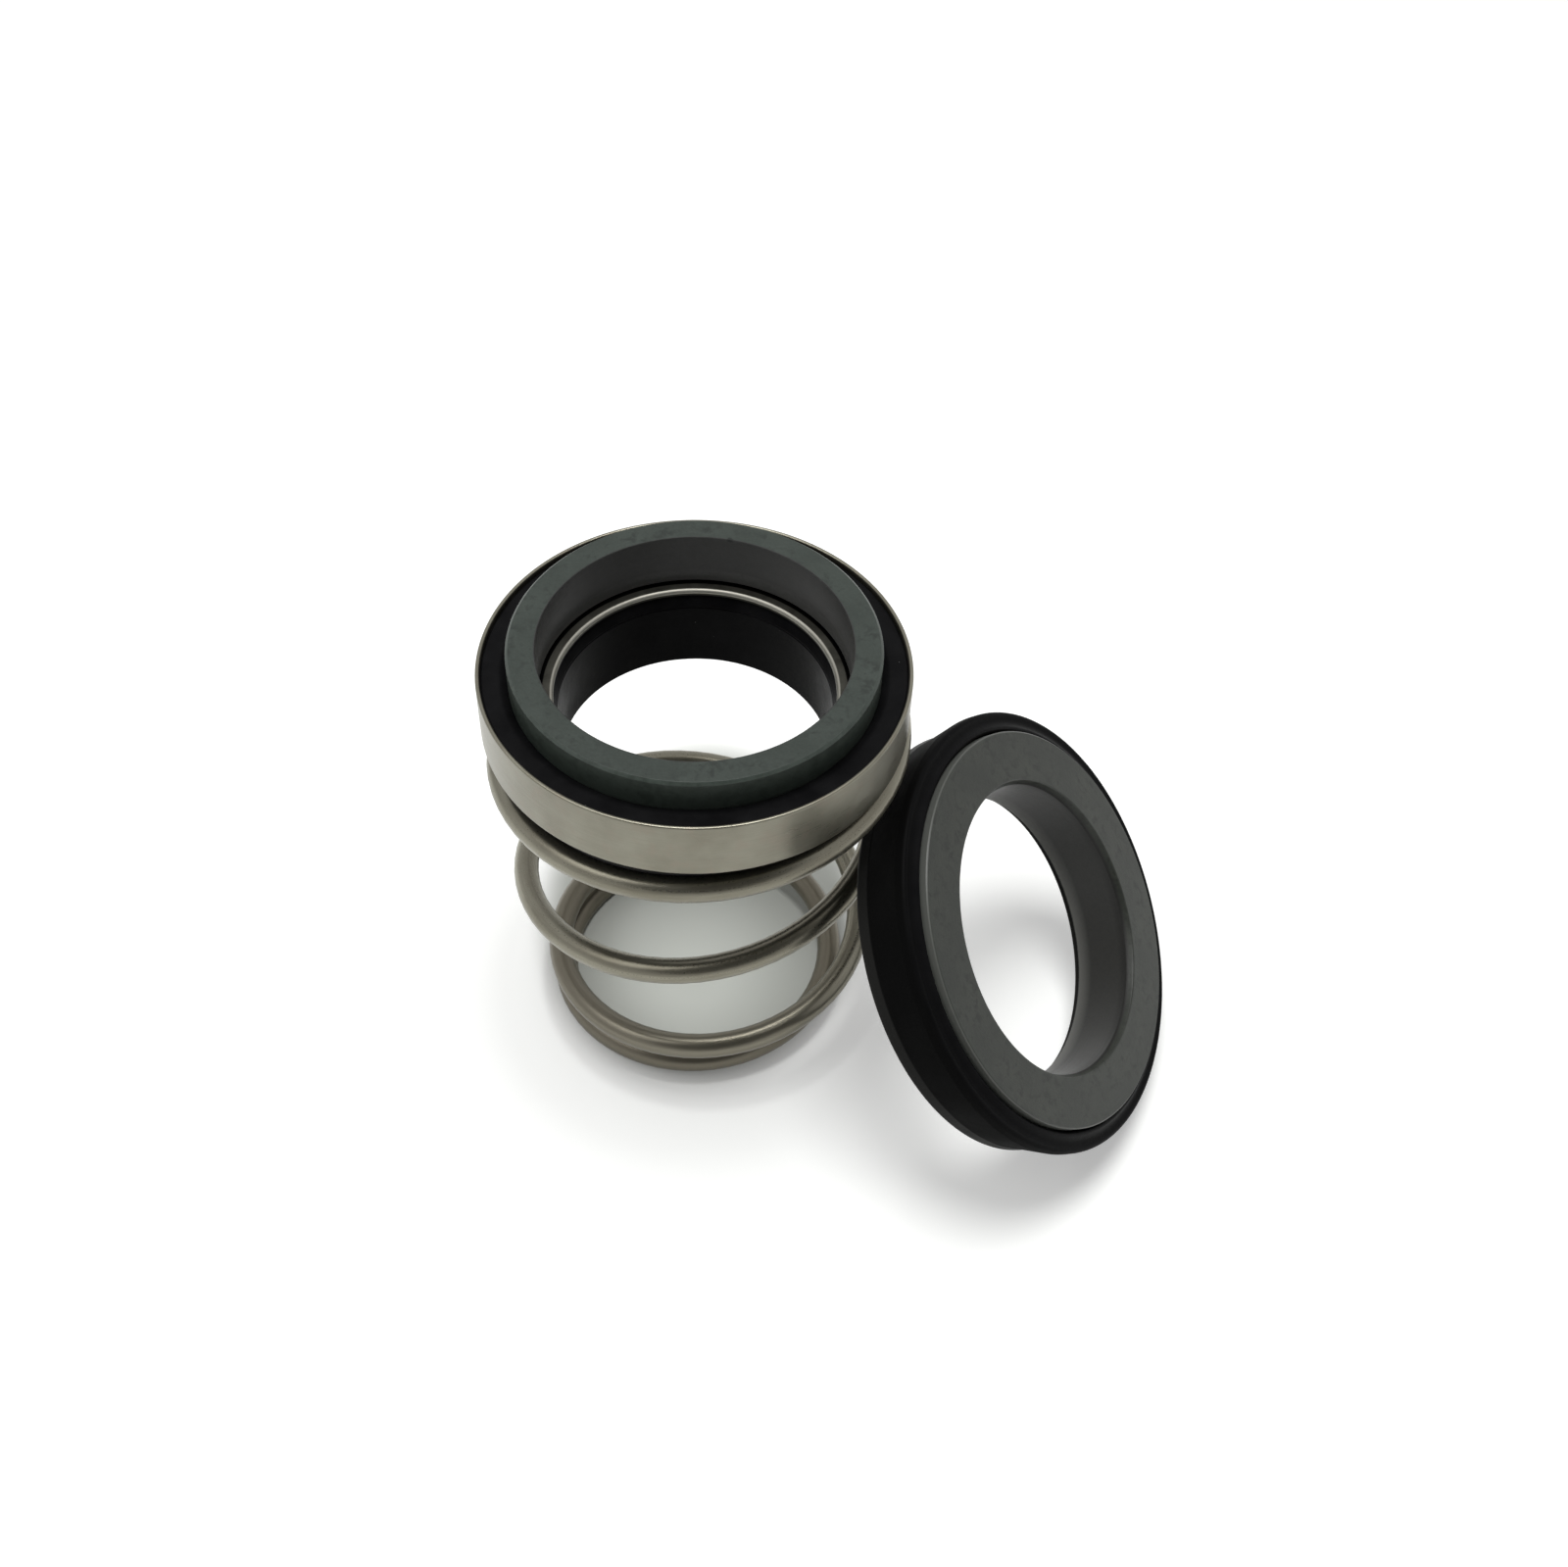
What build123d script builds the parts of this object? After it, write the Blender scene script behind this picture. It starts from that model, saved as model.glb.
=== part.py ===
from build123d import *

import os
from math import acos, cos, pi, radians, sin

# Rubber-bellows shaft seal, relaxed, and its stationary seat.
#
# The rotating head stands on its conical spring, and the seat leans on that spring with its rim in
# the gap between the two top coils. Millimetres, +Z up towards the sealing face of the head. The
# origin is on the shaft axis, in the plane that the spring's foot stands on. Widths, walls and
# clearances of round pieces are radial.

# ---------------------------------------------------------------- shaft
shaft_diameter = 25.0

# ---------------------------------------------------------------- rotary head, from the shaft out
hub_wall = 3.2  # rubber collar that grips the shaft
hub_length = 9.0  # below the backing ring
hub_edge = 0.3
hub_mouth_width = 0.9  # cone at the bottom of the rubber bore
hub_mouth_depth = 0.9
hub_lead_width = 0.5  # cone at the top of the rubber bore
hub_lead_depth = 1.2
fold_width = 1.3  # annular fold between the hub and the thrust flange
fold_depth = 2.0
fold_edge = 0.5
backing_clearance = 0.3  # between the shaft and the backing ring
backing_width = 3.6
backing_thickness = 0.65
backing_edge = 0.28
face_overhang = 0.3  # of the face ring beyond the backing ring
face_width = 2.6
face_height = 5.5
face_proud = 2.4  # above the band's rim
face_edge = 0.25
collar_width = 2.4  # rubber between the face ring and the band
collar_drop = 0.45  # the rubber's top below the band's rim
collar_groove = 0.35  # depth of the soft groove round the face ring
collar_groove_width = 0.7
flange_thickness = 0.35  # rubber that the spring pushes on
flange_setback = 0.6  # inside the band's outside
flange_edge = 0.2
band_wall = 0.4
band_height = 6.25
band_foot_width = 1.5  # turned inward at the bottom
band_bend_radius = 0.6  # outer radius of that turn
band_rim_edge = 0.18

# ---------------------------------------------------------------- spring
wire_diameter = 2.4
spring_length = 37.8  # relaxed, between the two ground ends
ground_depth = 0.4  # taken off the wire at each end
coil_turns = 4.0  # right-hand
foot_azimuth = 100.0  # degrees, where the wire starts
foot_shaft_gap = 0.1  # between the foot coil and the shaft
neck_flare_width = 2.8  # from the foot coil out to the cone
crown_setback = 0.7  # wire's centre line inside the band's outside
crown_flange_gap = 0.05  # between the crown and the rubber flange
foot_end_turn = 1.1  # the foot coil ends and the neck flares out
shoulder_turn = 1.75  # the neck ends and the cone begins
end_coil_gap = 1.8  # between the wires of two turns, where the coil is closed
dead_turns = 0.4  # over which the rise starts and dies at the ends
open_start_turn = 0.95
open_end_turn = 3.9
stations_per_turn = 16

# ---------------------------------------------------------------- seat, from the shaft out
seat_clearance = 1.5  # between the shaft and the seat's bore
seat_width = 5.15
seat_thickness = 6.7
seat_head_depth = 3.2  # the wide part of the ring
seat_step = 1.3  # 45 degrees, down to the narrow part
seat_edge = 0.3
seat_proud = 0.8  # face above the rubber
boot_front_wall = 2.35
boot_front_lip = 1.15  # straight part of the rim
boot_front_edge = 0.75
boot_land_wall = 0.6
boot_land_length = 1.5
boot_back_thickness = 1.6
boot_back_edge = 0.4
boot_back_margin = 0.3  # opening wider than the ring's bore
gap_width = 0.4  # open groove between the rubber's bead and the ring
gap_depth = 1.1
bead_width = 0.8
bead_edge = 0.3
groove_depth = 0.2  # soft groove between the bead and the rim
groove_edge = 0.4

# How the seat leans on the spring
seat_azimuth = -15.5  # degrees, of its centre round the shaft axis
facing_azimuth = -17.9  # degrees, direction that its face looks in
rim_share = 0.471  # height of its back rim, from the lower coil (0) to the upper (1)
rim_bite = 1.96  # its back rim inside the crown's centre line

# ---------------------------------------------------------------- worked out
shaft_radius = shaft_diameter / 2
wire_radius = wire_diameter / 2

hub_radius = shaft_radius + hub_wall
fold_radius = hub_radius + fold_width
backing_bore = shaft_radius + backing_clearance
backing_radius = backing_bore + backing_width
face_radius = backing_radius + face_overhang
face_bore = face_radius - face_width
band_inner = face_radius + collar_width
band_radius = band_inner + band_wall
flange_radius = band_radius - flange_setback

foot_radius = shaft_radius + foot_shaft_gap + wire_radius
shoulder_radius = foot_radius + neck_flare_width
crown_radius = band_radius - crown_setback

flange_bottom = spring_length + crown_flange_gap
band_bottom = flange_bottom + flange_thickness
rim_height = band_bottom + band_height
collar_top = rim_height - collar_drop
face_top = rim_height + face_proud
face_bottom = face_top - face_height
backing_bottom = face_bottom - backing_thickness
hub_bottom = backing_bottom - hub_length

seat_bore = shaft_radius + seat_clearance
seat_radius = seat_bore + seat_width
neck_radius = seat_radius - seat_step
neck_depth = seat_head_depth + seat_step
front_radius = seat_radius + boot_front_wall
land_radius = seat_radius + boot_land_wall
back_opening = seat_bore + boot_back_margin
seat_depth = seat_thickness + boot_back_thickness


def smooth(share):
    """Smooth step from 0 to 1."""
    share = min(max(share, 0.0), 1.0)
    return share * share * (3 - 2 * share)


def rounding(wanted, wall):
    """A rounding, limited by the wall that carries it."""
    return min(wanted, 0.45 * wall)


def coil_radius(turn):
    """Radius of the wire's centre line: foot coil, flared neck, then a cone."""
    neck = smooth((turn - foot_end_turn) / (shoulder_turn - foot_end_turn))
    cone = smooth((turn - shoulder_turn) / (coil_turns - shoulder_turn))
    return foot_radius + neck * neck_flare_width + cone * (crown_radius - shoulder_radius)


def closed_rise(turn):
    """Rise per turn of the closed coils, which starts and dies at the ground ends."""
    ends = smooth(turn / dead_turns) * smooth((coil_turns - turn) / dead_turns)
    return (wire_diameter + end_coil_gap) * ends


def open_share(turn):
    """How far the coil is opened, from 0 in the end coils to 1 in the middle."""
    share = (turn - open_start_turn) / (open_end_turn - open_start_turn)
    return (1 - cos(2 * pi * share)) / 2 if 0 < share < 1 else 0.0


def spring_stations():
    """Points of the wire's centre line, from the foot to the crown."""
    steps = 8 * stations_per_turn
    turns = [i / steps for i in range(round(coil_turns * steps) + 1)]
    middles = [(a + b) / 2 for a, b in zip(turns, turns[1:])]
    closed = [closed_rise(turn) / steps for turn in middles]
    opened = [open_share(turn) / steps for turn in middles]
    lowest = wire_radius - ground_depth
    highest = spring_length - wire_radius + ground_depth
    open_rise = (highest - lowest - sum(closed)) / sum(opened)
    heights = [lowest]
    for closed_step, open_step in zip(closed, opened):
        heights.append(heights[-1] + closed_step + open_rise * open_step)
    stations = []
    for turn, height in list(zip(turns, heights))[:: steps // stations_per_turn]:
        azimuth = radians(foot_azimuth) + 2 * pi * turn
        radius = coil_radius(turn)
        stations.append(Vector(radius * cos(azimuth), radius * sin(azimuth), height))
    return stations


# ---------------------------------------------------------------- spring
stations = spring_stations()
with BuildPart() as spring:
    with BuildLine():
        wire_line = Spline(*stations)
    with BuildSketch(Plane(origin=wire_line @ 0, z_dir=wire_line % 0)):
        Circle(wire_radius)
    sweep(path=wire_line, is_frenet=False)
    split(bisect_by=Plane.XY, keep=Keep.TOP)
    split(bisect_by=Plane.XY.offset(spring_length), keep=Keep.BOTTOM)

# ---------------------------------------------------------------- rotary head
# Profiles are half sections: X is the radius, Y the height.
with BuildPart() as rotary_face:
    with BuildSketch(Plane.XZ):
        with Locations((face_radius - face_width / 2, face_top - face_height / 2)):
            Rectangle(face_width, face_height)
    revolve(axis=Axis.Z)
    chamfer(rotary_face.edges().group_by(Axis.Z)[-1], face_edge)

with BuildPart() as backing_ring:
    with BuildSketch(Plane.XZ):
        with Locations((backing_bore + backing_width / 2, face_bottom - backing_thickness / 2)):
            Rectangle(backing_width, backing_thickness)
    revolve(axis=Axis.Z)
    bore_edges = backing_ring.edges().filter_by(GeomType.CIRCLE).sort_by(lambda edge: edge.radius)[:2]
    fillet(bore_edges, rounding(backing_edge, backing_thickness))

with BuildPart() as outer_band:
    band_foot_radius = band_radius - band_foot_width
    with BuildSketch(Plane.XZ) as band_section:
        Polygon(
            (band_inner, rim_height),
            (band_radius, rim_height),
            (band_radius, band_bottom),
            (band_foot_radius, band_bottom),
            (band_foot_radius, band_bottom + band_wall),
            (band_inner, band_bottom + band_wall),
            align=None,
        )
        corner = band_section.vertices().sort_by_distance((band_radius, band_bottom))[0]
        fillet(corner, band_bend_radius)
        for rim_radius in (band_inner, band_radius):
            corner = band_section.vertices().sort_by_distance((rim_radius, rim_height))[0]
            fillet(corner, rounding(band_rim_edge, band_wall))
    revolve(axis=Axis.Z)

with BuildPart() as bellows:
    with BuildSketch(Plane.XZ) as bellows_section:
        Polygon(
            (shaft_radius + hub_mouth_width, hub_bottom),
            (shaft_radius, hub_bottom + hub_mouth_depth),
            (shaft_radius, backing_bottom - hub_lead_depth),
            (shaft_radius + hub_lead_width, backing_bottom),
            (backing_radius, backing_bottom),
            (backing_radius, face_bottom),
            (face_radius, face_bottom),
            (face_radius, collar_top - collar_groove),
            (face_radius + collar_groove_width, collar_top),
            (band_inner, collar_top),
            (band_inner, band_bottom + band_wall),
            (band_foot_radius, band_bottom + band_wall),
            (band_foot_radius, band_bottom),
            (flange_radius, band_bottom),
            (flange_radius, flange_bottom),
            (fold_radius, flange_bottom),
            (fold_radius, flange_bottom + fold_depth),
            (hub_radius, flange_bottom + fold_depth),
            (hub_radius, hub_bottom),
            align=None,
        )
        for place, edge in (
            ((hub_radius, hub_bottom), rounding(hub_edge, hub_wall)),
            ((hub_radius, flange_bottom + fold_depth), rounding(fold_edge, fold_width)),
            ((fold_radius, flange_bottom + fold_depth), rounding(fold_edge, fold_width)),
            ((fold_radius, flange_bottom), flange_edge),
            ((flange_radius, flange_bottom), rounding(flange_edge, flange_thickness)),
            ((face_radius + collar_groove_width, collar_top), collar_groove_width),
        ):
            fillet(bellows_section.vertices().sort_by_distance(place)[0], edge)
    revolve(axis=Axis.Z)


# ---------------------------------------------------------------- how the seat leans
def reach(depth, radius, edge, share_of_depth, share_of_radius):
    """How far the seat's rounded rim, at this depth behind its face, reaches from the face's centre."""
    return (depth - edge) * share_of_depth + (radius - edge) * share_of_radius + edge


def coil_height(turn):
    """Height of the wire's centre line."""
    station = turn * stations_per_turn
    below = int(station)
    return stations[below].Z + (station - below) * (stations[below + 1].Z - stations[below].Z)


# The back rim's lowest edge stands on the floor, and its highest one stands between two turns of
# the wire, so the angle follows from the heights of those turns.
upper_turn = coil_turns - 1 + (seat_azimuth - foot_azimuth) / 360 % 1
upper_height = coil_height(upper_turn)
lower_height = coil_height(upper_turn - 1)
rim_top = lower_height + rim_share * (upper_height - lower_height)
lean = acos((rim_top / 2 - boot_back_edge) / (land_radius - boot_back_edge))
seat_height = max(
    reach(seat_depth, land_radius, boot_back_edge, sin(lean), cos(lean)),
    reach(seat_proud + boot_front_lip, front_radius, boot_front_edge, sin(lean), cos(lean)),
)
seat_distance = crown_radius - rim_bite + reach(
    seat_depth, land_radius, boot_back_edge, cos(lean), sin(lean)
)
facing = Vector(
    cos(lean) * cos(radians(facing_azimuth)), cos(lean) * sin(radians(facing_azimuth)), sin(lean)
)
seat_centre = Vector(
    seat_distance * cos(radians(seat_azimuth)), seat_distance * sin(radians(seat_azimuth)), seat_height
)

# ---------------------------------------------------------------- seat
# The section's X is the radius from the seat's own axis, and its Y runs out of the lapped face.
downhill = Vector(0, 0, -1).cross(facing).cross(facing).normalized()
section_plane = Plane(origin=seat_centre, x_dir=downhill, z_dir=downhill.cross(facing))
seat_axis = Axis(seat_centre, facing)

with BuildPart() as seat_ring:
    with BuildSketch(section_plane):
        Polygon(
            (seat_bore, 0),
            (seat_radius - seat_edge, 0),
            (seat_radius, -seat_edge),
            (seat_radius, -seat_head_depth),
            (neck_radius, -neck_depth),
            (neck_radius, -seat_thickness),
            (seat_bore, -seat_thickness),
            align=None,
        )
    revolve(axis=seat_axis)

with BuildPart() as seat_boot:
    gap_bottom = seat_proud + gap_depth
    gap_radius = seat_radius + gap_width
    groove_radius = gap_radius + bead_width
    lip_bottom = seat_proud + boot_front_lip
    with BuildSketch(section_plane) as boot_section:
        Polygon(
            (seat_radius, -gap_bottom),
            (gap_radius, -gap_bottom),
            (gap_radius, -seat_proud),
            (groove_radius, -seat_proud - groove_depth),
            (front_radius, -seat_proud),
            (front_radius, -lip_bottom),
            (land_radius, -seat_depth + boot_land_length),
            (land_radius, -seat_depth),
            (back_opening, -seat_depth),
            (back_opening, -seat_thickness),
            (neck_radius, -seat_thickness),
            (neck_radius, -neck_depth),
            (seat_radius, -seat_head_depth),
            align=None,
        )
        for place, edge in (
            ((gap_radius, -seat_proud), bead_edge),
            ((groove_radius, -seat_proud - groove_depth), groove_edge),
            ((front_radius, -seat_proud), boot_front_edge),
            ((land_radius, -seat_depth), rounding(boot_back_edge, boot_land_length)),
        ):
            fillet(boot_section.vertices().sort_by_distance(place)[0], edge)
    revolve(axis=seat_axis)

# ---------------------------------------------------------------- files
os.makedirs("parts", exist_ok=True)
for name, piece in (
    ("spring", spring),
    ("rotary_face", rotary_face),
    ("backing_ring", backing_ring),
    ("outer_band", outer_band),
    ("bellows", bellows),
    ("seat_ring", seat_ring),
    ("seat_boot", seat_boot),
):
    piece.part.label = name
    export_step(piece.part, f"parts/{name}.step")
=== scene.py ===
from math import acos, atan2, cos, pi, radians, sin, tan

import bpy
from mathutils import Matrix, Vector


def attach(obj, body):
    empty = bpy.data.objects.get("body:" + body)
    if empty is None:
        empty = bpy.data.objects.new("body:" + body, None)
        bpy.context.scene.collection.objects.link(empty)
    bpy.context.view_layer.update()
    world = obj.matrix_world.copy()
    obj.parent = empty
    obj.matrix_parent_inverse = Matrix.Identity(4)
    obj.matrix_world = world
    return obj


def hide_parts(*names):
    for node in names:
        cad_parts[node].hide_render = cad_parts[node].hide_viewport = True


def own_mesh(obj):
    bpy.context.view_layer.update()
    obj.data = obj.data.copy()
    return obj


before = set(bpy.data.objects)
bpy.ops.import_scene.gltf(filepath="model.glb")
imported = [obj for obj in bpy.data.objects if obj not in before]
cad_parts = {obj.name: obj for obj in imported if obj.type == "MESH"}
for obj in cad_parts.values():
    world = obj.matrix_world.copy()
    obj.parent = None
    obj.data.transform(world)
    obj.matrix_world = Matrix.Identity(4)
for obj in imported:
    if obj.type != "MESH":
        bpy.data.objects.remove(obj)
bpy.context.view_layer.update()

MM = 0.001

# ------------------------------------------------------------------ sizes, in millimetres
# Heights are over the floor, on which the spring's foot stands; widths and walls are radial.
SHAFT_R = 12.5

WIRE_R = 1.2
SPRING_LENGTH = 37.8
GROUND = 0.4  # taken off the wire at both ends
END_GAP = 1.8  # between the wires of the closed coils
FOOT_AZIMUTH = 100.0
FOOT_R = 13.8  # of the wire's centre line, as are the next two
SHOULDER_R = 16.6
CROWN_R = 18.8
FOOT_SHADE = (150.0, 110.0)  # brown painted shade begins and is full, in mm along the wire
CROWN_SHADE = (400.0, 440.0)

# Turns of the wire, counted from the foot
TURNS = 4.0
NECK_START = 1.1
CONE_START = 1.75
OPEN_START = 0.95
OPEN_END = 3.9
DEAD_TURNS = 0.4

BAND_R = 19.5
BAND_WALL = 0.4
BAND_FOOT_R = 18.0
BAND_BOTTOM = 38.2
RIM = 44.45

FACE_R = 16.7
FACE_BORE = 14.1
FACE_TOP = 46.85
FACE_BOTTOM = 41.35
FACE_EDGE = 0.25
FACE_MOUTH = 0.06  # bevel round the top of the bore
FACE_BACK_EDGE = 0.2  # height of the bevel at the back of the bore, as wide as the other edges
NICK = (2.4, 13.9, FACE_TOP)  # in the edge of the bore

BACKING_R = 16.4
BACKING_BORE = 12.8
BACKING_BOTTOM = 40.7
BACKING_LIP = 0.46

HUB_R = 15.7
HUB_BOTTOM = 31.7
HUB_MOUTH = 0.9  # cone at the bottom of the bore
LEAD_WIDTH = 0.5  # cone at the top of the bore, with a soft groove under it
LEAD_DEPTH = 1.2
LEAD_GROOVE = 0.1
FOLD_R = 17.0
FOLD_DEPTH = 2.0
FLANGE_R = 18.9
FLANGE_BOTTOM = 37.85
COLLAR_TOP = 44.0
COLLAR_GROOVE_WIDTH = 0.7
COLLAR_GROOVE_DEPTH = 0.35
COLLAR_EDGE_WIDTH = 0.12
COLLAR_EDGE_DEPTH = 0.2

# The seat: depths are behind its face, which is at height 0 of a frame of its own
SEAT_CENTRE = (34.3963, -9.53895, 20.3238)
SEAT_SETBACK = 0.33  # farther from the camera than the solid
FACING_AZIMUTH = -17.9
FACING_ELEVATION = 39.794
SEAT_R = 19.15
SEAT_NECK_R = 17.85
SEAT_BORE = 14.0
SEAT_T = 6.45  # thickness
SEAT_HEAD = 3.2  # depth of the wide part of the ring
SEAT_SHOULDER = 4.5  # depth where the narrow part begins
SEAT_BEVEL = 0.14
SEAT_MOUTH_WIDTH = 0.3
SEAT_MOUTH_DEPTH = 0.7

BOOT_FRONT = 0.8  # depth of the rubber's front under the face
BOOT_FRONT_R = 21.3
BOOT_LIP = 1.15  # straight part of the rim
BOOT_LAND_R = 20.4
BOOT_LAND = 1.5
BOOT_BACK = 7.25
BOOT_OPENING = 14.45
BEAD_GAP_WIDTH = 0.15
BEAD_GAP_DEPTH = 1.1
BEAD_RISE = 0.45
RIM_GROOVE_R = 20.35
RIM_GROOVE_DEPTH = 0.2
BOOT_WALL = (-BOOT_FRONT - 0.2, -BOOT_BACK + 1.4)  # heights between which the wall is dullest and has painted shade


# ------------------------------------------------------------------ meshes
def build_mesh(name, points, faces):
    """Makes a mesh object from points in millimetres."""
    mesh = bpy.data.meshes.new(name)
    mesh.from_pydata([tuple(c * MM for c in p) for p in points], [], faces)
    mesh.validate()
    mesh.polygons.foreach_set("use_smooth", [True] * len(mesh.polygons))
    piece = bpy.data.objects.new(name, mesh)
    bpy.context.scene.collection.objects.link(piece)
    return piece


def round_corners(corners, arc_step=9.0, support=0.07):
    """Closed section from (radius, height, rounding) corners, with each corner turned by an arc."""
    count = len(corners)
    path = []
    for i, (x, y, r) in enumerate(corners):
        here = Vector((x, y))
        before = Vector(corners[i - 1][:2]) - here
        after = Vector(corners[(i + 1) % count][:2]) - here
        u, v = before.normalized(), after.normalized()
        opening = acos(max(-1.0, min(1.0, u.dot(v))))
        if r <= 0 or opening > pi - 0.01:
            path.append(here)
            continue
        reach = min(r / tan(opening / 2), 0.49 * before.length, 0.49 * after.length)
        r = reach * tan(opening / 2)
        centre = here + (u + v).normalized() * (r / sin(opening / 2))
        start, end = here + u * reach - centre, here + v * reach - centre
        turn = pi - opening
        steps = max(2, round(turn / radians(arc_step)))
        a0 = atan2(start.y, start.x)
        way = 1 if start.x * end.y - start.y * end.x > 0 else -1
        path += [
            centre + Vector((cos(a0 + way * turn * k / steps), sin(a0 + way * turn * k / steps))) * r
            for k in range(steps + 1)
        ]
    # Points close to the ends of long straight runs keep the flats' shading flat
    section = []
    for p, q in zip(path, path[1:] + path[:1]):
        run = q - p
        section.append(p)
        if run.length > 5 * support:
            section += [p + run.normalized() * support, q - run.normalized() * support]
    return section


def revolve(name, corners, segments=288):
    """Closed ring turned round Z, from (radius, height, rounding) corners."""
    section = round_corners(corners)
    rows = len(section)
    points, faces = [], []
    for k in range(segments):
        a = 2 * pi * k / segments
        points += [(p.x * cos(a), p.x * sin(a), p.y) for p in section]
    for k in range(segments):
        n = (k + 1) % segments
        for j in range(rows):
            m = (j + 1) % rows
            faces.append((k * rows + j, n * rows + j, n * rows + m, k * rows + m))
    return build_mesh(name, points, faces)


def smooth(share):
    """Eased step from 0 to 1."""
    share = min(max(share, 0.0), 1.0)
    return share * share * (3 - 2 * share)


def coil_radius(turn):
    """Radius of the wire's centre line: an even foot, a quick neck, then a slow cone."""
    neck = smooth((turn - NECK_START) / (CONE_START - NECK_START))
    cone = smooth((turn - CONE_START) / (TURNS - CONE_START))
    return FOOT_R + neck * (SHOULDER_R - FOOT_R) + cone * (CROWN_R - SHOULDER_R)


def coil_line(steps_per_turn):
    """Points of the wire's centre line: the end coils lie close, and the middle takes the rest."""
    fine = 128
    closed_pitch = 2 * WIRE_R + END_GAP
    turns = [i / fine for i in range(int(TURNS * fine) + 1)]
    closed, opened = [], []
    for a, b in zip(turns, turns[1:]):
        t = (a + b) / 2
        closed.append(closed_pitch * smooth(t / DEAD_TURNS) * smooth((TURNS - t) / DEAD_TURNS) / fine)
        share = (t - OPEN_START) / (OPEN_END - OPEN_START)
        opened.append((1 - cos(2 * pi * share)) / 2 / fine if 0 < share < 1 else 0.0)
    lowest = WIRE_R - GROUND
    highest = SPRING_LENGTH - lowest
    rise = (highest - lowest - sum(closed)) / sum(opened)
    heights = [lowest]
    for c, o in zip(closed, opened):
        heights.append(heights[-1] + c + rise * o)
    line = []
    for turn, height in list(zip(turns, heights))[:: fine // steps_per_turn]:
        a = radians(FOOT_AZIMUTH) + 2 * pi * turn
        r = coil_radius(turn)
        line.append(Vector((r * cos(a), r * sin(a), height)))
    return line


def build_spring(name, around=32, steps_per_turn=64, bevel_share=0.86, bevel=0.12):
    """Round wire swept along the coil, with its run along the wire kept as the attribute "straight"."""
    line = coil_line(steps_per_turn)
    count = len(line)
    points, straight, faces = [], [], []
    run = 0.0
    for i, here in enumerate(line):
        before, after = line[max(i - 1, 0)], line[min(i + 1, count - 1)]
        along = (after - before).normalized()
        outward = Vector((here.x, here.y, 0)).normalized()
        outward = (outward - along * outward.dot(along)).normalized()
        upward = along.cross(outward)
        if upward.z < 0:
            upward = -upward
        if i:
            run += (here - line[i - 1]).length
        for k in range(around):
            a = 2 * pi * k / around
            p = here + (outward * cos(a) + upward * sin(a)) * WIRE_R
            p.z = min(max(p.z, 0.0), SPRING_LENGTH)
            points.append(p)
            straight.append((cos(a) * WIRE_R, sin(a) * WIRE_R, run))
    for i in range(count - 1):
        for k in range(around):
            n = (k + 1) % around
            faces.append((i * around + k, (i + 1) * around + k, (i + 1) * around + n, i * around + n))
    # Ends: a small bevel, then a flat cap
    for end, inner, flip in ((0, 1, False), (count - 1, count - 2, True)):
        out = (line[end] - line[inner]).normalized()
        base = len(points)
        ring = points[end * around : (end + 1) * around]
        middle = sum(ring, Vector()) / around
        for p, s in zip(ring, straight[end * around : (end + 1) * around]):
            q = middle + (p - middle) * bevel_share + out * bevel
            q.z = min(max(q.z, 0.0), SPRING_LENGTH)
            points.append(q)
            straight.append(s)
        for k in range(around):
            n = (k + 1) % around
            quad = (end * around + k, end * around + n, base + n, base + k)
            faces.append(quad[::-1] if flip else quad)
        cap = tuple(range(base, base + around))
        faces.append(cap if flip else cap[::-1])
    piece = build_mesh(name, points, faces)
    attribute = piece.data.attributes.new("straight", "FLOAT_VECTOR", "POINT")
    attribute.data.foreach_set("vector", [c for p in straight for c in p])
    return piece


# ------------------------------------------------------------------ materials
def srgb(*levels):
    """Linear colour from 0 to 255 screen levels."""
    out = []
    for level in levels:
        c = level / 255
        out.append(c / 12.92 if c <= 0.04045 else ((c + 0.055) / 1.055) ** 2.4)
    return (*out, 1.0)


def tint(colour, factor):
    """A colour times a factor, kept within white."""
    return (*(min(1.0, c * factor) for c in colour[:3]), 1.0)


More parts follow.
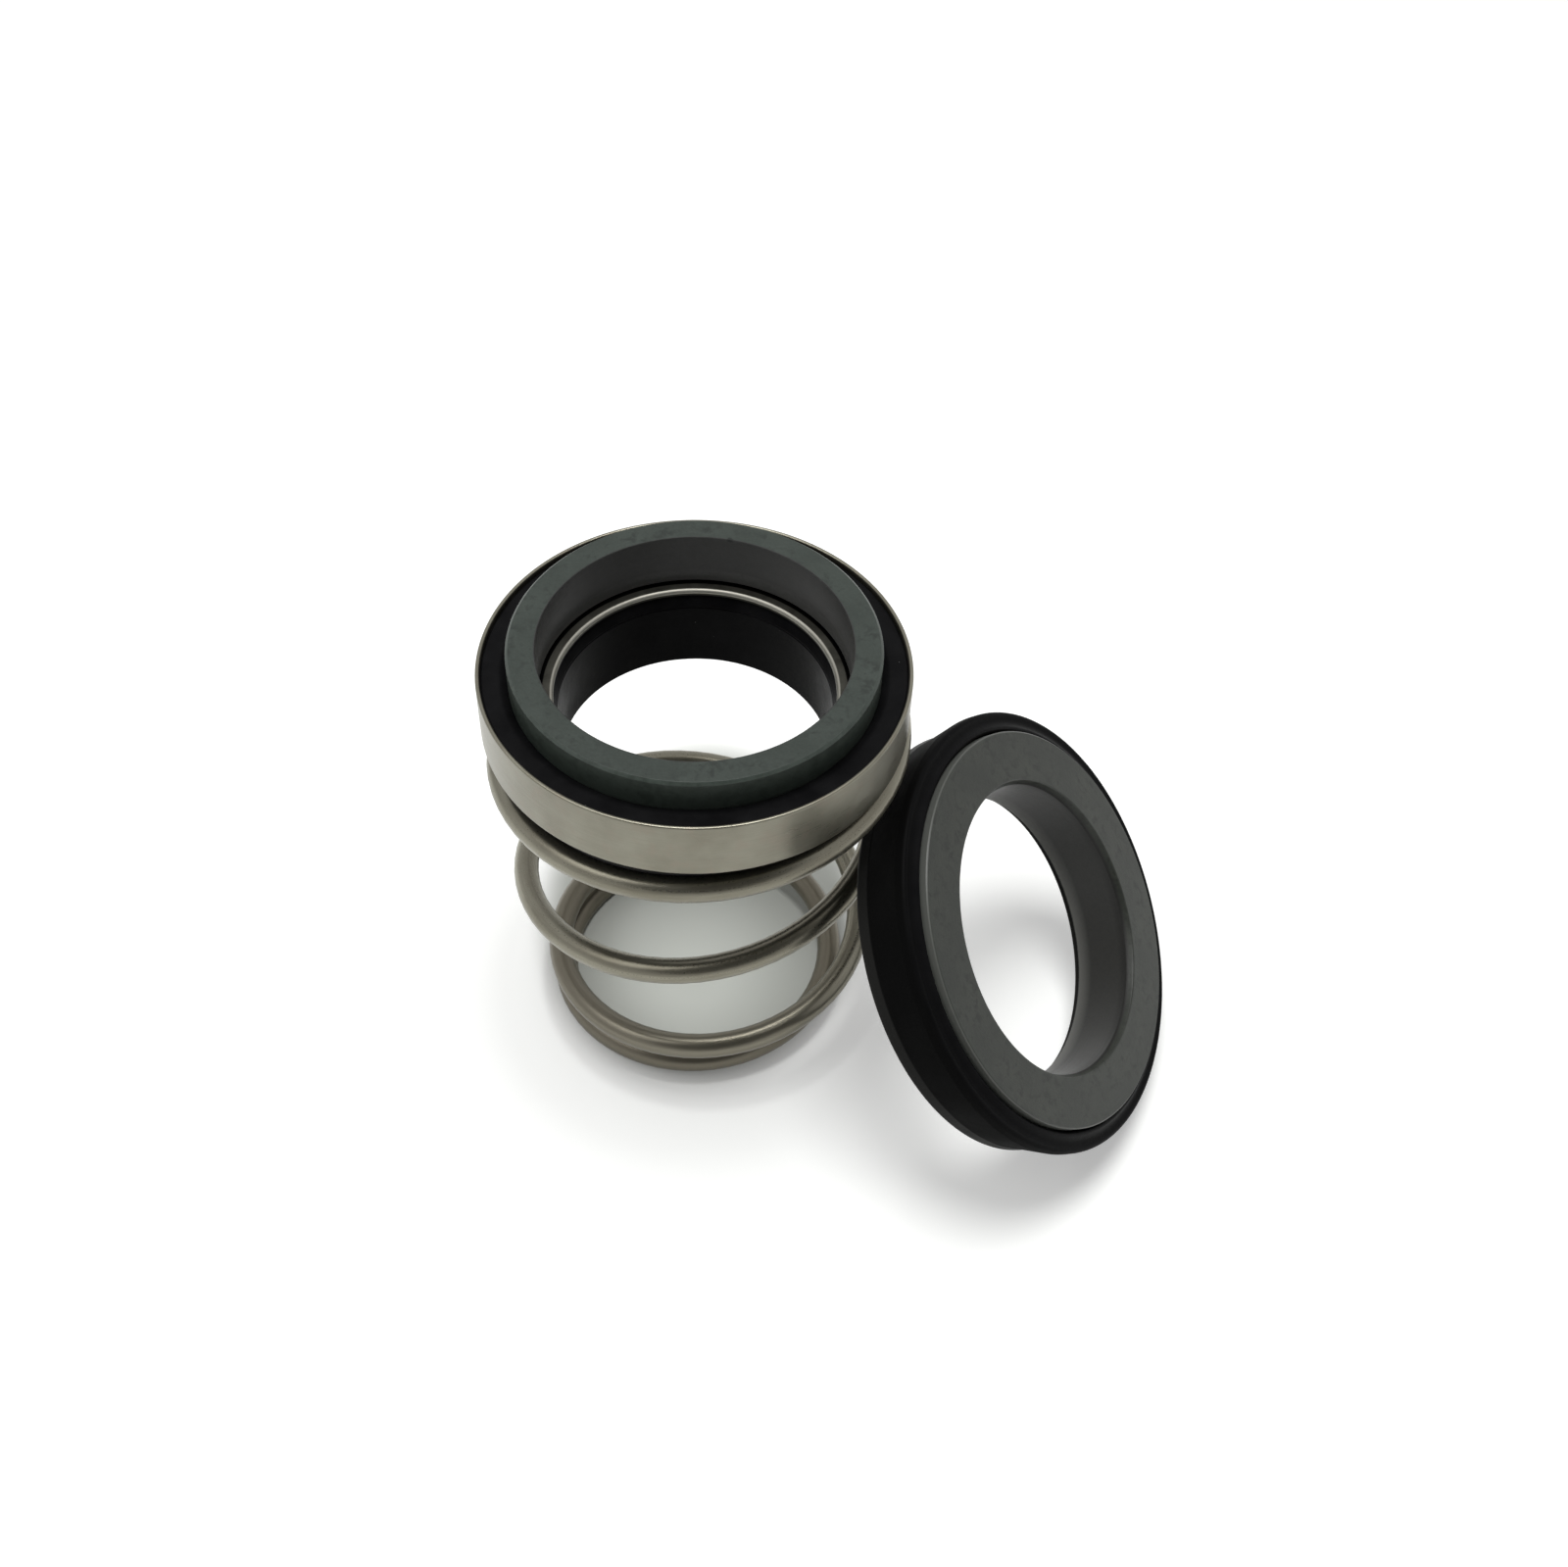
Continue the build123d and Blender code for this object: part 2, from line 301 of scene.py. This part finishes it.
class Nodes:
    """Short words for building a node tree."""

    def __init__(self, tree):
        self.tree = tree

    def node(self, kind, **settings):
        made = self.tree.nodes.new(kind)
        for key, value in settings.items():
            setattr(made, key, value)
        return made

    def put(self, socket, value):
        if isinstance(value, bpy.types.NodeSocket):
            self.tree.links.new(value, socket)
        elif value is not None:
            socket.default_value = value

    def math(self, operation, a, b=None):
        made = self.node("ShaderNodeMath", operation=operation)
        self.put(made.inputs[0], a)
        self.put(made.inputs[1], b)
        return made.outputs[0]

    def vector(self, operation, *values):
        made = self.node("ShaderNodeVectorMath", operation=operation)
        for socket, value in zip(made.inputs, values):
            self.put(socket, value)
        return made.outputs["Value" if operation in ("LENGTH", "DOT_PRODUCT", "DISTANCE") else "Vector"]

    def product(self, *values):
        made = values[0]
        for value in values[1:]:
            made = self.math("MULTIPLY", made, value)
        return made

    def blend(self, share, a, b):
        """Weighted sum of two values, with the share of the first."""
        return self.math("ADD", self.product(a, share), self.product(b, 1 - share))

    def remap(self, value, low, high, to_low=0.0, to_high=1.0, interpolation="LINEAR"):
        made = self.node("ShaderNodeMapRange", clamp=True, interpolation_type=interpolation)
        self.put(made.inputs["Value"], value)
        for key, number in (("From Min", low), ("From Max", high), ("To Min", to_low), ("To Max", to_high)):
            made.inputs[key].default_value = number
        return made.outputs["Result"]

    def mix(self, factor, a, b):
        made = self.node("ShaderNodeMix", data_type="RGBA")
        self.put(made.inputs[0], factor)
        self.put(made.inputs[6], a)
        self.put(made.inputs[7], b)
        return made.outputs[2]

    def seen_directly(self):
        """1 for the rays that show a background: camera, glossy and transmission rays."""
        rays = self.node("ShaderNodeLightPath").outputs
        seen = self.math("MAXIMUM", rays["Is Camera Ray"], rays["Is Glossy Ray"])
        return self.math("MAXIMUM", seen, rays["Is Transmission Ray"])


class Shader(Nodes):
    """Short words for building one procedural material."""

    def __init__(self, name):
        self.material = bpy.data.materials.new(name)
        self.material.use_nodes = True
        super().__init__(self.material.node_tree)
        self.bsdf = next(n for n in self.tree.nodes if n.type == "BSDF_PRINCIPLED")

    def ring(self, place=None):
        """Round-the-axis coordinates in millimetres: radius, height, cosine and sine of the angle.

        place is where a piece stands that isn't turned round the part's own axis.
        """
        back = place.inverted() if place else Matrix()
        scaled = self.node("ShaderNodeMapping")
        self.put(scaled.inputs["Vector"], self.node("ShaderNodeTexCoord").outputs["Object"])
        scaled.inputs["Location"].default_value = back.translation / MM
        scaled.inputs["Rotation"].default_value = back.to_euler()
        scaled.inputs["Scale"].default_value = (1 / MM, 1 / MM, 1 / MM)
        parts = self.node("ShaderNodeSeparateXYZ")
        self.put(parts.inputs[0], scaled.outputs[0])
        x, y, z = parts.outputs
        r = self.math("SQRT", self.math("ADD", self.product(x, x), self.product(y, y)))
        c, s = self.math("DIVIDE", x, r), self.math("DIVIDE", y, r)
        return {"xyz": scaled.outputs[0], "r": r, "z": z, "c": c, "s": s}

    def noise(self, vector, scale, detail=4.0, roughness=0.55, w=None, distortion=0.0):
        made = self.node("ShaderNodeTexNoise", noise_dimensions="4D" if w is not None else "3D")
        self.put(made.inputs["Vector"], vector)
        if w is not None:
            self.put(made.inputs["W"], w)
        made.inputs["Scale"].default_value = scale
        made.inputs["Detail"].default_value = detail
        made.inputs["Roughness"].default_value = roughness
        made.inputs["Distortion"].default_value = distortion
        return made.outputs["Fac"]

    def stretched(self, vector, factors, **more):
        """Noise with a scale of its own along each axis, per millimetre."""
        return self.noise(self.vector("MULTIPLY", vector, factors), 1.0, **more)

    def turned(self, ring, across, along, **more):
        """Noise drawn out round the axis, as turning, lapping or rolling leaves it."""
        vector = self.node("ShaderNodeCombineXYZ")
        self.put(vector.inputs[0], self.product(ring["r"], across))
        self.put(vector.inputs[1], self.product(ring["z"], across))
        self.put(vector.inputs[2], self.product(ring["c"], along))
        return self.noise(vector.outputs[0], 1.0, w=self.product(ring["s"], along), **more)

    def specks(self, vector, scale, size, share):
        """Sparse round specks: 1 inside a speck."""
        cells = self.node("ShaderNodeTexVoronoi", feature="F1")
        self.put(cells.inputs["Vector"], vector)
        cells.inputs["Scale"].default_value = scale
        near = self.remap(cells.outputs["Distance"], size, 0.6 * size)
        tone = self.node("ShaderNodeSeparateColor")
        self.put(tone.inputs[0], cells.outputs["Color"])
        chosen = self.math("LESS_THAN", tone.outputs[0], share)
        return self.product(near, chosen)

    def bump(self, height, distance, strength=1.0, under=None):
        made = self.node("ShaderNodeBump")
        made.inputs["Strength"].default_value = strength
        made.inputs["Distance"].default_value = distance * MM
        self.put(made.inputs["Height"], height)
        self.put(made.inputs["Normal"], under)
        return made.outputs[0]

    def finish(self, colour, roughness, normal, metallic=0.0, level=0.5):
        self.put(self.bsdf.inputs["Base Color"], colour)
        self.put(self.bsdf.inputs["Roughness"], roughness)
        self.put(self.bsdf.inputs["Normal"], normal)
        self.put(self.bsdf.inputs["Metallic"], metallic)
        self.put(self.bsdf.inputs["Specular IOR Level"], level)
        return self.material


def carbide(name, dark, pale, inside, bore_r, edge_r, bottom, rub, side=None, chip=None, place=None):
    """Lapped silicon carbide: fine grain, faint clouds, dark mottles and pores, and a rubbed edge.

    inside colours the bore, side paints light onto the outer wall of a ring that lies on its side, and chip
    is the place of a nick.
    """
    s = Shader(name)
    ring = s.ring(place)
    clouds = s.noise(ring["xyz"], 0.22, detail=3.0)
    grain = s.noise(ring["xyz"], 3.2, detail=6.0, roughness=0.7)
    mottles = s.noise(ring["xyz"], 0.95, detail=5.0, roughness=0.6, distortion=0.4)
    colour = s.mix(s.remap(s.blend(0.6, clouds, grain), 0.36, 0.64), dark, pale)
    patchy = s.product(s.remap(mottles, 0.5, 0.64), s.remap(clouds, 0.38, 0.56), 0.65)
    colour = s.mix(patchy, colour, tint(dark, 0.45))
    pores = s.specks(ring["xyz"], 1.6, 0.16, 0.22)
    colour = s.mix(s.product(pores, 0.45), colour, tint(dark, 0.35))
    lines = s.turned(ring, 9.0, 1.5, detail=3.0)
    roughness = s.remap(s.blend(0.5, grain, lines), 0.3, 0.7, 0.3, 0.46)

    # Paler along the outer edge, and a bore of its own colour, with painted light at its far end
    edge = s.remap(ring["r"], edge_r - 0.32, edge_r - 0.2)
    rubbed = s.product(edge, s.remap(mottles, 0.4, 0.62, 0.2 * rub, rub))
    colour = s.mix(rubbed, colour, tint(pale, 1.9))
    in_bore = s.remap(ring["r"], bore_r + 0.16, bore_r + 0.04)
    colour = s.mix(in_bore, colour, s.mix(s.remap(grain, 0.3, 0.7), tint(inside, 0.75), inside))
    # Painted light: the bore is painted lighter towards its far end, where shade falls
    far_end_light = s.product(s.remap(ring["z"], bottom + 1.6, bottom + 0.1), in_bore)
    colour = s.mix(far_end_light, colour, tint(inside, 4.0))
    if side:
        # Such a ring has its face at height 0, and painted light makes its outer wall paler
        colour = s.mix(s.remap(ring["r"], edge_r - 0.15, edge_r - 0.05), colour, side)
        # Painted shade: its bore is darkest just inside its mouth
        mouth_shade = s.product(s.remap(ring["z"], -1.6, -1.0), s.remap(ring["z"], -0.3, -0.6))
        colour = s.mix(s.product(mouth_shade, in_bore, 0.45), colour, srgb(14, 14, 13))
    if chip:
        off = s.vector("DISTANCE", ring["xyz"], chip)
        chipped = s.remap(s.math("ADD", off, s.product(grain, 0.5)), 0.6, 0.45)
        colour = s.mix(chipped, colour, tint(dark, 0.3))

    # Painted shade: black where the ring rests on what is behind it, for the shade in that crevice
    at_back = s.remap(ring["z"], bottom + 0.16, bottom + 0.1)
    seam_shade = s.product(at_back, s.remap(ring["r"], edge_r - 1.0, edge_r - 1.2))
    colour = s.mix(seam_shade, colour, srgb(6, 6, 6))
    normal = s.bump(s.math("ADD", s.product(lines, 0.5), grain), 0.012)
    return s.finish(colour, roughness, normal, level=0.3)


def rubber(name, dark, pale, level, wall=None, place=None):
    """Moulded black rubber: soft uneven sheen, bloom in patches, a little dust.

    Between the two heights of wall it is duller and painted darker, as painted shade, and behind them
    it is painted paler, as painted light.
    """
    s = Shader(name)
    ring = s.ring(place)
    patches = s.noise(ring["xyz"], 0.3, detail=4.0)
    fine = s.noise(ring["xyz"], 7.0, detail=4.0, roughness=0.6)
    colour = s.mix(s.remap(patches, 0.35, 0.7), dark, pale)
    dust = s.product(s.specks(ring["xyz"], 1.1, 0.07, 0.12), 0.5)
    colour = s.mix(dust, colour, srgb(120, 122, 120))
    roughness = s.remap(s.blend(0.6, patches, fine), 0.3, 0.7, 0.3, 0.5)
    if wall:
        front, back = wall
        # Painted shade on the wall between the two heights, and painted light behind them
        before_back = s.remap(ring["z"], back - 0.1, back + 0.1)
        wall_shade = s.product(before_back, s.remap(ring["z"], front + 0.3, front - 0.3))
        colour = s.mix(s.remap(ring["z"], back + 0.1, back - 0.1), colour, srgb(33, 33, 32))
        colour = s.mix(wall_shade, colour, srgb(13, 13, 13))
        level = s.remap(wall_shade, 0.0, 1.0, level, level * 0.3)
        roughness = s.math("ADD", roughness, s.product(wall_shade, 0.2))
    swell = s.noise(ring["xyz"], 0.9, detail=2.0)
    normal = s.bump(swell, 0.05, 0.5, s.bump(fine, 0.01))
    return s.finish(colour, roughness, normal, level=level)


def band_steel(name):
    """Drawn and rolled stainless band: fine lines round it, soft stains and a faint warm blush."""
    s = Shader(name)
    ring = s.ring()
    lines = s.turned(ring, 16.0, 4.0, detail=5.0, roughness=0.7)
    stains = s.noise(ring["xyz"], 0.3, detail=3.0, roughness=0.5)
    blush = s.noise(ring["xyz"], 0.75, detail=4.0, roughness=0.6)
    colour = s.mix(s.remap(stains, 0.3, 0.7), srgb(122, 119, 106), srgb(137, 135, 122))
    colour = s.mix(s.remap(blush, 0.5, 0.66, 0.0, 0.3), colour, srgb(136, 124, 112))
    colour = s.mix(s.remap(lines, 0.4, 0.7, 0.0, 0.35), colour, srgb(110, 106, 95))
    roughness = s.remap(s.blend(0.7, lines, stains), 0.3, 0.7, 0.24, 0.38)
    normal = s.bump(lines, 0.006)
    return s.finish(colour, roughness, normal, metallic=0.86)


def backing_steel(name):
    """Pressed steel ring: dull where it lies flat, bright on the rounded lip, painted shade below the lip
    and under the face.
    """
    s = Shader(name)
    ring = s.ring()
    stains = s.noise(ring["xyz"], 0.5, detail=5.0, distortion=0.5)
    lines = s.turned(ring, 10.0, 4.0, detail=4.0)
    flat = s.remap(ring["r"], BACKING_BORE + 0.24, BACKING_BORE + 0.34)
    dull = s.mix(s.remap(stains, 0.35, 0.65), srgb(60, 59, 54), srgb(80, 79, 73))
    colour = s.mix(flat, srgb(158, 156, 147), dull)
    # Painted shade: darker below the lip, and black where the flat runs in under the face
    colour = s.mix(s.remap(ring["z"], FACE_BOTTOM - 0.32, FACE_BOTTOM - 0.42), colour, srgb(48, 47, 43))
    colour = s.mix(s.remap(ring["r"], FACE_BORE - 0.34, FACE_BORE - 0.28), colour, srgb(5, 5, 5))
    roughness = s.math("ADD", s.remap(flat, 0.0, 1.0, 0.5, 0.44), s.remap(lines, 0.3, 0.7, 0.0, 0.06))
    normal = s.bump(s.product(lines, flat), 0.006)
    return s.finish(colour, roughness, normal, metallic=1.0)


def wire_steel(name):
    """Drawn spring wire: lines along it, stains, and brown painted shade on the coils that lie close."""
    s = Shader(name)
    attribute = s.node("ShaderNodeAttribute", attribute_type="GEOMETRY", attribute_name="straight")
    straight = attribute.outputs["Vector"]
    parts = s.node("ShaderNodeSeparateXYZ")
    s.put(parts.inputs[0], straight)
    run = parts.outputs[2]
    lines = s.stretched(straight, (5.0, 5.0, 0.05), detail=4.0, roughness=0.6)
    stains = s.stretched(straight, (0.7, 0.7, 0.1), detail=4.0)
    fine = s.stretched(straight, (6.0, 6.0, 4.0), detail=4.0)
    colour = s.mix(s.remap(stains, 0.32, 0.68), srgb(120, 116, 102), srgb(145, 142, 128))
    colour = s.mix(s.remap(lines, 0.5, 0.75, 0.0, 0.3), colour, srgb(98, 90, 78))
    # Painted shade: the close coils at the foot and the crown are painted brown and darker, patchy with the
    # stains
    ends = s.math("MAXIMUM", s.remap(run, *FOOT_SHADE), s.remap(run, *CROWN_SHADE, 0.0, 0.4))
    painted_shade = s.product(ends, s.remap(stains, 0.3, 0.6, 0.2, 0.65))
    colour = s.mix(painted_shade, colour, srgb(92, 84, 72))
    roughness = s.remap(s.blend(0.6, lines, fine), 0.3, 0.7, 0.24, 0.36)
    roughness = s.math("ADD", roughness, s.product(painted_shade, 0.08))
    normal = s.bump(lines, 0.006, 1.0, s.bump(fine, 0.0015))
    return s.finish(colour, roughness, normal, metallic=0.72)


def give(piece, material, body, slot, *nodes):
    piece.data.materials.clear()
    piece.data.materials.append(material)
    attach(piece, body)
    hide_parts(*nodes)


# ------------------------------------------------------------------ rotary head
face_ring = revolve(
    "face_ring",
    [
        (FACE_BORE, FACE_BOTTOM + FACE_BACK_EDGE, 0.06),
        (FACE_BORE + FACE_EDGE, FACE_BOTTOM, 0.05),
        (FACE_R, FACE_BOTTOM, 0.1),
        (FACE_R, FACE_TOP - FACE_EDGE, 0.05),
        (FACE_R - FACE_EDGE, FACE_TOP, 0.05),
        (FACE_BORE + FACE_MOUTH, FACE_TOP, 0.02),
        (FACE_BORE, FACE_TOP - FACE_MOUTH, 0.02),
    ],
)
face_ceramic = carbide(
    "seal_face_ceramic",
    dark=srgb(46, 53, 48),
    pale=srgb(59, 66, 61),
    inside=srgb(52, 52, 51),
    bore_r=FACE_BORE,
    edge_r=FACE_R,
    bottom=FACE_BOTTOM,
    rub=0.45,
    chip=NICK,
)
give(face_ring, face_ceramic, "head", "seal_face_ceramic", "rotary_face")

backing_ring = revolve(
    "backing_washer",
    [
        (BACKING_BORE, BACKING_BOTTOM, 0.1),
        (BACKING_R, BACKING_BOTTOM, 0.05),
        (BACKING_R, FACE_BOTTOM, 0.05),
        (BACKING_BORE, FACE_BOTTOM, BACKING_LIP),
    ],
)
give(backing_ring, backing_steel("backing_steel"), "head", "backing_steel", "backing_ring")

steel_band = revolve(
    "steel_band",
    [
        (BAND_R - BAND_WALL, RIM, 0.18),
        (BAND_R, RIM, 0.18),
        (BAND_R, BAND_BOTTOM, 0.6),
        (BAND_FOOT_R, BAND_BOTTOM, 0.12),
        (BAND_FOOT_R, BAND_BOTTOM + BAND_WALL, 0.12),
        (BAND_R - BAND_WALL, BAND_BOTTOM + BAND_WALL, 0.2),
    ],
    segments=360,
)
give(steel_band, band_steel("band_steel"), "head", "band_steel", "outer_band")

bellows = revolve(
    "rubber_bellows",
    [
        (SHAFT_R + HUB_MOUTH, HUB_BOTTOM, 0.1),
        (SHAFT_R, HUB_BOTTOM + HUB_MOUTH, 0.15),
        (SHAFT_R, BACKING_BOTTOM - LEAD_DEPTH - 2 * LEAD_GROOVE, 0.05),
        (SHAFT_R + LEAD_GROOVE, BACKING_BOTTOM - LEAD_DEPTH - LEAD_GROOVE, 0.05),
        (SHAFT_R, BACKING_BOTTOM - LEAD_DEPTH, 0.15),
        (SHAFT_R + LEAD_WIDTH, BACKING_BOTTOM, 0.08),
        (BACKING_R, BACKING_BOTTOM, 0.0),
        (BACKING_R, FACE_BOTTOM, 0.0),
        (FACE_R, FACE_BOTTOM, 0.0),
        (FACE_R, COLLAR_TOP - COLLAR_GROOVE_DEPTH, 0.12),
        (FACE_R + COLLAR_GROOVE_WIDTH, COLLAR_TOP, 0.8),
        (BAND_R - BAND_WALL - COLLAR_EDGE_WIDTH, COLLAR_TOP, 0.25),
        (BAND_R - BAND_WALL, COLLAR_TOP - COLLAR_EDGE_DEPTH, 0.05),
        (BAND_R - BAND_WALL, BAND_BOTTOM + BAND_WALL, 0.0),
        (BAND_FOOT_R, BAND_BOTTOM + BAND_WALL, 0.0),
        (BAND_FOOT_R, BAND_BOTTOM, 0.0),
        (FLANGE_R, BAND_BOTTOM, 0.05),
        (FLANGE_R, FLANGE_BOTTOM, 0.15),
        (FOLD_R, FLANGE_BOTTOM, 0.2),
        (FOLD_R, FLANGE_BOTTOM + FOLD_DEPTH, 0.5),
        (HUB_R, FLANGE_BOTTOM + FOLD_DEPTH, 0.5),
        (HUB_R, HUB_BOTTOM, 0.3),
    ],
)
bellows_rubber = rubber("bellows_rubber", srgb(13, 13, 14), srgb(22, 22, 23), level=0.032)
give(bellows, bellows_rubber, "head", "bellows_rubber", "bellows")

# ------------------------------------------------------------------ spring
spring = build_spring("spring_wire")
give(spring, wire_steel("spring_steel"), "spring_and_seat", "spring_steel", "spring")
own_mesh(spring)

# ------------------------------------------------------------------ seat
lean, swing = radians(FACING_ELEVATION), radians(FACING_AZIMUTH)
facing = Vector((cos(lean) * cos(swing), cos(lean) * sin(swing), sin(lean)))
downhill = Vector((0, 0, -1)).cross(facing).cross(facing).normalized()
sideways = facing.cross(downhill)
seat_place = Matrix((downhill, sideways, facing)).transposed().to_4x4()
seat_place.translation = (Vector(SEAT_CENTRE) + Vector((0, SEAT_SETBACK, 0))) * MM

seat_ring = revolve(
    "stationary_ring",
    [
        (SEAT_BORE, -SEAT_T, 0.15),
        (SEAT_NECK_R, -SEAT_T, 0.15),
        (SEAT_NECK_R, -SEAT_SHOULDER, 0.1),
        (SEAT_R, -SEAT_HEAD, 0.1),
        (SEAT_R, -SEAT_BEVEL, 0.05),
        (SEAT_R - SEAT_BEVEL, 0.0, 0.05),
        (SEAT_BORE + SEAT_MOUTH_WIDTH, 0.0, 0.2),
        (SEAT_BORE, -SEAT_MOUTH_DEPTH, 0.4),
    ],
)
seat_ring.data.transform(seat_place)
seat_ceramic = carbide(
    "seat_ceramic",
    dark=srgb(43, 46, 42),
    pale=srgb(56, 59, 53),
    inside=srgb(49, 49, 47),
    bore_r=SEAT_BORE,
    edge_r=SEAT_R,
    bottom=-SEAT_T,
    rub=0.05,
    side=srgb(90, 92, 88),
    place=seat_place,
)
give(seat_ring, seat_ceramic, "spring_and_seat", "seat_ceramic", "seat_ring")

seat_boot = revolve(
    "rubber_boot",
    [
        (SEAT_R, -SEAT_HEAD, 0.0),
        (SEAT_R, -BOOT_FRONT - BEAD_GAP_DEPTH, 0.05),
        (SEAT_R + BEAD_GAP_WIDTH, -BOOT_FRONT - BEAD_GAP_DEPTH, 0.05),
        (SEAT_R + BEAD_GAP_WIDTH, -BOOT_FRONT + BEAD_RISE, 0.3),
        (RIM_GROOVE_R, -BOOT_FRONT - RIM_GROOVE_DEPTH, 0.6),
        (BOOT_FRONT_R, -BOOT_FRONT, 0.75),
        (BOOT_FRONT_R, -BOOT_FRONT - BOOT_LIP, 0.5),
        (BOOT_LAND_R, -BOOT_BACK + BOOT_LAND, 0.3),
        (BOOT_LAND_R, -BOOT_BACK, 0.4),
        (BOOT_OPENING, -BOOT_BACK, 0.3),
        (BOOT_OPENING, -SEAT_T, 0.0),
        (SEAT_NECK_R, -SEAT_T, 0.0),
        (SEAT_NECK_R, -SEAT_SHOULDER, 0.0),
    ],
)
seat_boot.data.transform(seat_place)
boot_rubber = rubber("boot_rubber", srgb(11, 11, 12), srgb(19, 19, 20), 0.04, BOOT_WALL, seat_place)
give(seat_boot, boot_rubber, "spring_and_seat", "boot_rubber", "seat_boot")

# ------------------------------------------------------------------ floor, light and camera
FLOOR_HALF = 4000
FLOOR_GLOW = 0.36
# The oval of painted shade under the spring: how far along Y it is full and has faded, narrowed along X
SHADE_FROM, SHADE_TO = 19.5, 26.0
SHADE_STRETCH = (1.35, 1.0, 1.0)
SHADE_SHIFT = (0.0, -8 * MM, 0.0)
SHADED_PAPER = (0.57, 0.59, 0.55, 1)
OPEN_PAPER = (0.88, 0.89, 0.87, 1)
# The room: the dark side begins and is full at these cosines of the angle from its middle
WORLD_LIGHT = 0.42
DARK_SIDE = (0.04, -0.667, 0.744)
DARK_FROM, DARK_TO = 0.743, 0.883
PALE_ROOM, DARK_ROOM = 0.95, 0.08


def floor_paper(name):
    """White paper that glows for the camera, except in a greyer oval of painted shade under the spring."""
    paper = bpy.data.materials.new(name)
    paper.use_nodes = True
    paper.node_tree.nodes.clear()
    n = Nodes(paper.node_tree)
    place = n.node("ShaderNodeTexCoord").outputs["Object"]
    away = n.vector("LENGTH", n.vector("MULTIPLY_ADD", place, SHADE_STRETCH, SHADE_SHIFT))
    open_floor = n.remap(away, SHADE_FROM * MM, SHADE_TO * MM, interpolation="SMOOTHSTEP")
    diffuse = n.node("ShaderNodeBsdfDiffuse")
    n.put(diffuse.inputs["Color"], n.mix(open_floor, SHADED_PAPER, OPEN_PAPER))
    glow = n.node("ShaderNodeEmission")
    n.put(glow.inputs["Strength"], n.product(open_floor, FLOOR_GLOW, n.seen_directly()))
    both = n.node("ShaderNodeAddShader")
    n.put(both.inputs[0], diffuse.outputs[0])
    n.put(both.inputs[1], glow.outputs[0])
    n.put(n.node("ShaderNodeOutputMaterial").inputs["Surface"], both.outputs[0])
    return paper


def studio_world(name):
    """Pale room all round, but for the dark side where the photographer stands."""
    world = bpy.data.worlds.new(name)
    bpy.context.scene.world = world
    world.use_nodes = True
    world.node_tree.nodes.clear()
    n = Nodes(world.node_tree)
    direction = n.node("ShaderNodeTexCoord").outputs["Generated"]
    towards = n.vector("DOT_PRODUCT", direction, DARK_SIDE)
    shade = n.remap(towards, DARK_FROM, DARK_TO, PALE_ROOM, DARK_ROOM, "SMOOTHSTEP")
    level = n.remap(n.seen_directly(), 0.0, 1.0, WORLD_LIGHT, 1.0)
    background = n.node("ShaderNodeBackground")
    n.put(background.inputs["Strength"], n.product(shade, level))
    n.put(n.node("ShaderNodeOutputWorld").inputs["Surface"], background.outputs[0])


floor_corners = [(x * FLOOR_HALF, y * FLOOR_HALF, 0) for x, y in ((-1, -1), (1, -1), (1, 1), (-1, 1))]
floor = build_mesh("floor", floor_corners, [(0, 1, 2, 3)])
floor.data.materials.append(floor_paper("floor_paper"))
studio_world("studio")


def area_light(name, place, target, size, power):
    lamp = bpy.data.lights.new(name, "AREA")
    lamp.shape = "DISK"
    lamp.size = size
    lamp.energy = power
    holder = bpy.data.objects.new(name, lamp)
    holder.location = place
    holder.rotation_euler = (Vector(target) - Vector(place)).to_track_quat("-Z", "Y").to_euler()
    bpy.context.scene.collection.objects.link(holder)


area_light("top_softbox", (0.0, 0.03, 0.6), (0.0, 0, 0.03), 0.3, 2.4)
area_light("key_softbox", (-0.3, -0.1, 0.45), (0.01, 0, 0.03), 0.3, 0.4)

# The camera looks down on the part from the front and is rolled a little
PITCH = 0.8416613
ROLL = 0.0423343
LENS = 44.255
CAMERA_PLACE = (8.3606, -122.196, 165.557)
camera_data = bpy.data.cameras.new("camera")
camera = bpy.data.objects.new("camera", camera_data)
camera_data.sensor_width = 36.0
camera_data.lens = LENS
camera_data.clip_start = 0.001
forward = Vector((0, cos(PITCH), -sin(PITCH)))
level_right, level_up = Vector((1, 0, 0)), Vector((0, sin(PITCH), cos(PITCH)))
right = level_right * cos(ROLL) + level_up * sin(ROLL)
up = level_up * cos(ROLL) - level_right * sin(ROLL)
placed = Matrix((right, up, -forward)).transposed().to_4x4()
placed.translation = Vector(CAMERA_PLACE) * MM
camera.matrix_world = placed
bpy.context.scene.collection.objects.link(camera)
bpy.context.scene.camera = camera
bpy.context.scene.view_settings.view_transform = "Standard"
